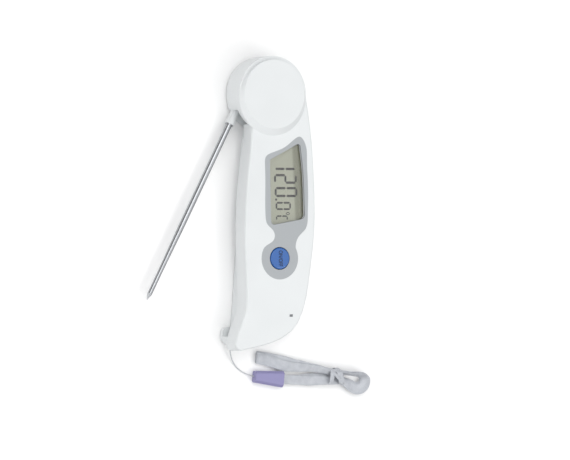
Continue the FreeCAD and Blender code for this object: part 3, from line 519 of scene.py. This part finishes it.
tent_ramp.color_ramp.elements[0].color = hex_colour("1C1E20")
tent_ramp.color_ramp.elements[1].position = TENT_WHITE_FROM
tent_ramp.color_ramp.elements[1].color = hex_colour("FFFFFF")
tent_tree.links.new(tent_ramp.outputs["Color"], tent.inputs["Color"])
tent.inputs["Strength"].default_value = 1.22
bpy.context.scene.world = world
HANDLE_MIDDLE = Vector((0.0, -0.06, 0.0))


def soft_box(name, place, size, watts):
    """A round diffused lamp that faces the middle of the handle."""
    light = bpy.data.lights.new(name, "AREA")
    light.shape = "DISK"
    light.size = size
    light.energy = watts
    lamp = bpy.data.objects.new(name, light)
    lamp.location = place
    lamp.rotation_euler = (HANDLE_MIDDLE - Vector(place)).to_track_quat("-Z", "Y").to_euler()
    bpy.context.collection.objects.link(lamp)


# The key comes from the lower right, the top light lays a bright line along the probe, and the low fill
# keeps the left walls pale.
soft_box("key_light", (0.6, -0.6, 0.9), 0.6, 2.2)
soft_box("top_light", (-0.25, 0.46, 1.14), 0.5, 1.4)
soft_box("fill_light", (-1.0, -0.1, 0.22), 0.9, 3.2)
bpy.context.scene.view_settings.view_transform = "Standard"

# ---- White mouldings -----------------------------------------------------------------------------------
# Front and rear shells, head cap, turning drum, its back cover and the battery door are injection moulded
# in white ABS. The mould's fine spark finish gives a soft satin highlight and no gloss, and the melt's
# flow leaves patches a shade apart.
SPARK_GRAIN = 0.45 * MM
FLOW_PATCH = 28.0 * MM
abs_white, abs_tree, abs_shader = new_material("white moulded ABS", "DCDFE0", 0.36, IOR=1.53)
abs_place = add_node(abs_tree, "ShaderNodeTexCoord")
abs_grain = add_node(
    abs_tree,
    "ShaderNodeTexNoise",
    {"Vector": abs_place.outputs["Object"]},
    Scale=1 / SPARK_GRAIN,
    Detail=3.0,
)
abs_bump = add_node(abs_tree, "ShaderNodeBump", {"Height": abs_grain.outputs["Fac"]}, Distance=0.000012)
abs_flow = add_node(
    abs_tree, "ShaderNodeTexNoise", {"Vector": abs_place.outputs["Object"]}, Scale=1 / FLOW_PATCH
)
abs_tint = add_node(abs_tree, "ShaderNodeValToRGB", {"Fac": abs_flow.outputs["Fac"]})
abs_tint.color_ramp.elements[0].position = 0.3
abs_tint.color_ramp.elements[0].color = hex_colour("DADDDE")
abs_tint.color_ramp.elements[1].position = 0.7
abs_tint.color_ramp.elements[1].color = hex_colour("DEE1E2")
abs_tree.links.new(abs_tint.outputs["Color"], abs_shader.inputs["Base Color"])
abs_tree.links.new(abs_bump.outputs["Normal"], abs_shader.inputs["Normal"])
finish_nodes(abs_white, "front_shell", "rear_shell", "head_cap")
finish_nodes(abs_white, "probe_hub", "hub_back_cover", "battery_door")

# ---- Grey bezel ----------------------------------------------------------------------------------------
# A thin moulded overlay let into the front, satin grey, with the display opening and the button's hole.
# Its mould was etched a little finer than the shells' one.
ETCHED_GRAIN = 0.38 * MM
bezel_grey, bezel_tree, bezel_shader = new_material("satin grey overlay", "A5A9AC", 0.42)
bezel_place = add_node(bezel_tree, "ShaderNodeTexCoord")
bezel_grain = add_node(
    bezel_tree,
    "ShaderNodeTexNoise",
    {"Vector": bezel_place.outputs["Object"]},
    Scale=1 / ETCHED_GRAIN,
    Detail=2.0,
)
bezel_bump = add_node(bezel_tree, "ShaderNodeBump", {"Height": bezel_grain.outputs["Fac"]}, Distance=0.00002)
bezel_tree.links.new(bezel_bump.outputs["Normal"], bezel_shader.inputs["Normal"])
finish_nodes(bezel_grey, "display_bezel")

# ---- Display -------------------------------------------------------------------------------------------
# A reflective liquid crystal under a clear lens: grey-green ground, near-black bars, and a darker strip
# down the right that is painted shadow, the shade the window's right edge casts on the sunken crystal.
lcd_ground, lcd_tree, lcd_shader = new_material("reflective liquid crystal", "AEB19F", 0.3)
lcd_place = add_node(lcd_tree, "ShaderNodeTexCoord")
lcd_axes = add_node(lcd_tree, "ShaderNodeSeparateXYZ", {"Vector": lcd_place.outputs["Object"]})
lcd_skew = add_node(
    lcd_tree,
    "ShaderNodeMath",
    {0: lcd_axes.outputs["Y"], 2: lcd_axes.outputs["X"]},
    operation="MULTIPLY_ADD",
)
lcd_skew.inputs[1].default_value = 0.05
# Painted shadow: the crystal darkens across a band skewed to run along the window's right edge.
lcd_painted_shadow_band = add_node(lcd_tree, "ShaderNodeMapRange", {"Value": lcd_skew.outputs[0]})
lcd_painted_shadow_band.inputs["From Min"].default_value = 11.2 * MM
lcd_painted_shadow_band.inputs["From Max"].default_value = 12.6 * MM
lcd_ground_and_painted_shadow = add_node(lcd_tree, "ShaderNodeValToRGB", {"Fac": lcd_painted_shadow_band.outputs["Result"]})
# The crystal's own grey-green ground, then the darker olive of the painted shadow.
lcd_ground_and_painted_shadow.color_ramp.elements[0].color = hex_colour("BCBFAC")
lcd_ground_and_painted_shadow.color_ramp.elements[1].color = hex_colour("8E907A")
lcd_tree.links.new(lcd_ground_and_painted_shadow.outputs["Color"], lcd_shader.inputs["Base Color"])
finish_nodes(lcd_ground, "lcd_module")

lens_clear = new_material("clear acrylic lens", "FFFFFF", 0.03, Transmission_Weight=1.0, IOR=1.49)[0]
finish_nodes(lens_clear, "display_window")

lcd_ink = new_material("liquid crystal bar", "22241E", 0.35)[0]
BAR_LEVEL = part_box("lcd_module")[1].z + 0.03 * MM
BARS = {
    # name: start and end in a cell one wide and two high, read along the handle
    "top": ((0, 2), (1, 2)),
    "upper_left": ((0, 1), (0, 2)),
    "upper_right": ((1, 1), (1, 2)),
    "middle": ((0, 1), (1, 1)),
    "lower_left": ((0, 0), (0, 1)),
    "lower_right": ((1, 0), (1, 1)),
    "bottom": ((0, 0), (1, 0)),
}
ALL_BUT_MIDDLE = [name for name in BARS if name != "middle"]
CHARACTERS = [
    # bars, then left side, foot, advance, height and bar width in mm
    (["upper_right", "lower_right"], -34.9, 2.0, 5.4, 13.6, 1.25),
    (["top", "upper_right", "middle", "lower_left", "bottom"], -42.4, 2.0, 5.2, 14.0, 1.25),
    (ALL_BUT_MIDDLE, -49.3, 2.4, 5.4, 14.0, 1.25),
    (ALL_BUT_MIDDLE, -57.2, 3.0, 4.4, 9.4, 1.0),
    (["top", "upper_left", "lower_left", "bottom"], -64.4, 3.2, 2.9, 7.3, 0.8),
    (["top", "upper_left", "upper_right", "middle"], -62.7, 7.6, 1.5, 4.0, 0.45),
]
POINT_PLACE = (3.3, -56.0)
POINT_WIDTH = 1.1


def bar(mesh, start, end, width):
    """A flat pointed bar of a segment display between two cell corners."""
    along = (end - start).normalized()
    side = Vector((-along.y, along.x, 0)) * (width / 2)
    near, far = start + along * (width * 0.62), end - along * (width * 0.62)
    tip = along * (width / 2)
    outline = [near - tip, near + side, far + side, far + tip, far - side, near - side]
    mesh.faces.new([mesh.verts.new(point) for point in outline][::-1])


def character(mesh, names, left, foot, advance, height, width):
    """Lays a segment character whose foot is to the left of the handle and whose left side is uppermost."""
    for name in names:
        ends = []
        for u, v in BARS[name]:
            x = (foot + width / 2 + (height - width) * v / 2) * MM
            y = (left - width / 2 - (advance - width) * u) * MM
            ends.append(Vector((x, y, BAR_LEVEL)))
        bar(mesh, *ends, width * MM)


def display_bars():
    """All the bars that show a reading of 120.0 and the degree sign with its C."""
    mesh = bmesh.new()
    for layout in CHARACTERS:
        character(mesh, *layout)
    x, y = POINT_PLACE
    corners = ((-1, -1), (1, -1), (1, 1), (-1, 1))
    reach = POINT_WIDTH / 2
    points = [((x + a * reach) * MM, (y + b * reach) * MM, BAR_LEVEL) for a, b in corners]
    mesh.faces.new([mesh.verts.new(point) for point in points])
    mesh.normal_update()
    bmesh.ops.reverse_faces(mesh, faces=[face for face in mesh.faces if face.normal.z < 0])
    done = bpy.data.meshes.new("display_bars")
    mesh.to_mesh(done)
    mesh.free()
    return done


bars = mesh_piece("display_bars", display_bars(), lcd_ink, "handle", smooth=False)

# ---- Push button ---------------------------------------------------------------------------------------
# A blue ABS cap, polished, with a dark pad-printed legend that reads along the handle.
button_blue = new_material("polished blue ABS", "275EA6", 0.22, IOR=1.53, Coat_Weight=0.3)[0]
finish_nodes(button_blue, "button_cap")

LEGEND_NARROWING = 0.7
legend_ink = new_material("dark pad print", "0A101E", 0.6)[0]
button_low, button_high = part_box("button_cap")
legend_text = bpy.data.curves.new("button_legend", "FONT")
legend_text.body = "ON/OFF"
legend_text.align_x = "CENTER"
legend_text.align_y = "CENTER"
legend_text.size = 3.3 * MM
legend_text.offset = 0.05 * MM
legend_text.extrude = 0.02 * MM
legend_holder = bpy.data.objects.new("button_legend", legend_text)
bpy.context.collection.objects.link(legend_holder)
legend_mesh = bpy.data.meshes.new_from_object(
    legend_holder.evaluated_get(bpy.context.evaluated_depsgraph_get())
)
bpy.data.objects.remove(legend_holder)
button_centre = (button_low + button_high) / 2
legend_place = Matrix.Translation((button_centre.x, button_centre.y, button_high.z + 0.01 * MM))
legend_turn = Matrix.Rotation(math.radians(-90), 4, "Z")
legend_turn = legend_turn @ Matrix.Diagonal((LEGEND_NARROWING, 1.0, 1.0, 1.0))
legend_mesh.transform(legend_place @ legend_turn)
legend_mesh.name = "button_legend"
legend_mesh.materials.clear()
legend = mesh_piece("button_legend", legend_mesh, legend_ink, "button", smooth=False)

# ---- Face inlay ----------------------------------------------------------------------------------------
# A small dark grey pad sits in the shallow pocket low on the face, painted shade that darkens the pocket. It
# stands just below the face and its edges are rounded.
INLAY_MIDDLE = (11.3, -117.75)
INLAY_SIZE = (1.9, 1.2)
INLAY_DEPTH = 0.55
INLAY_SINK = 0.05
INLAY_ROUNDING = 0.15
# The pad's dark grey is painted shade for the pocket, not a material of its own.
pocket_painted_shade = new_material("painted pocket shade", "77797D", 0.6)[0]
inlay_form = bmesh.new()
bmesh.ops.create_cube(inlay_form, size=1.0)
face_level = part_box("front_shell")[1].z
inlay_level = face_level - (INLAY_SINK + INLAY_DEPTH / 2) * MM
inlay_place = Matrix.Translation((INLAY_MIDDLE[0] * MM, INLAY_MIDDLE[1] * MM, inlay_level))
inlay_scale = Matrix.Diagonal((INLAY_SIZE[0] * MM, INLAY_SIZE[1] * MM, INLAY_DEPTH * MM, 1.0))
bmesh.ops.transform(inlay_form, matrix=inlay_place @ inlay_scale, verts=inlay_form.verts)
bmesh.ops.bevel(
    inlay_form,
    geom=inlay_form.edges[:],
    offset=INLAY_ROUNDING * MM,
    segments=3,
    profile=0.5,
    affect="EDGES",
)
inlay_mesh = bpy.data.meshes.new("face_inlay")
inlay_form.to_mesh(inlay_mesh)
inlay_form.free()
inlay = mesh_piece("face_inlay", inlay_mesh, pocket_painted_shade, "handle", smooth=False)

# ---- Steel probe and hardware --------------------------------------------------------------------------
# The probe is drawn stainless tube, polished along its length after its end is reduced. Screws, washers
# and the cell share the same bright metal.
PROBE_LEAN = math.radians(28.2)
POLISH_LINE = 0.4 * MM
POLISH_LENGTH = 16.0 * MM
steel, steel_tree, steel_shader = new_material("polished stainless tube", "AAACAF", 0.2, Metallic=1.0)
steel_place = add_node(steel_tree, "ShaderNodeTexCoord")
steel_turn = add_node(steel_tree, "ShaderNodeMapping", {"Vector": steel_place.outputs["Object"]})
steel_turn.inputs["Rotation"].default_value = (0, 0, PROBE_LEAN)
steel_turn.inputs["Scale"].default_value = (1 / POLISH_LINE, 1 / POLISH_LENGTH, 1 / POLISH_LINE)
steel_lines = add_node(steel_tree, "ShaderNodeTexNoise", {"Vector": steel_turn.outputs["Vector"]}, Scale=1.0)
steel_rough = add_node(steel_tree, "ShaderNodeMapRange", {"Value": steel_lines.outputs["Fac"]})
steel_rough.inputs["To Min"].default_value = 0.14
steel_rough.inputs["To Max"].default_value = 0.3
steel_tree.links.new(steel_rough.outputs["Result"], steel_shader.inputs["Roughness"])
finish_nodes(steel, "probe_tube", "probe_collar", "case_screws", "hub_screws", "pivot_screw", "pivot_washer")
finish_nodes(steel, "spring_washer", "coin_cell")

# ---- Inner pieces --------------------------------------------------------------------------------------
# Board, chips, seals, contacts and wires sit inside and show only when the case is opened. Each has the
# plain finish of its stock and a faint grain.
STOCK_GRAIN = 0.8 * MM
INNER = {
    "green glass laminate": ("1E5B35", 0.4, ["circuit_board"]),
    "black moulded epoxy": (
        "1A1A1B",
        0.5,
        ["board_chips", "button_switch", "lcd_frame", "switch_plunger", "sensor_bead"],
    ),
    "black nitrile rubber": ("1C1C1D", 0.7, ["shell_gasket", "hub_seal", "door_seal"]),
    "striped silicone": ("4A4A4C", 0.6, ["lcd_connectors"]),
    "plated spring strip": ("B8AE8E", 0.3, ["contact_minus", "contact_plus"]),
    "red wire sheath": ("A83228", 0.5, ["sensor_leads", "lead_loop"]),
}
for inner_name, (inner_colour, inner_roughness, inner_nodes) in INNER.items():
    inner_material, inner_tree, inner_shader = new_material(inner_name, inner_colour, inner_roughness)
    inner_place = add_node(inner_tree, "ShaderNodeTexCoord")
    inner_noise = add_node(
        inner_tree, "ShaderNodeTexNoise", {"Vector": inner_place.outputs["Object"]}, Scale=1 / STOCK_GRAIN
    )
    inner_bump = add_node(
        inner_tree, "ShaderNodeBump", {"Height": inner_noise.outputs["Fac"]}, Distance=0.00003
    )
    inner_tree.links.new(inner_bump.outputs["Normal"], inner_shader.inputs["Normal"])
    finish_nodes(inner_material, *inner_nodes)
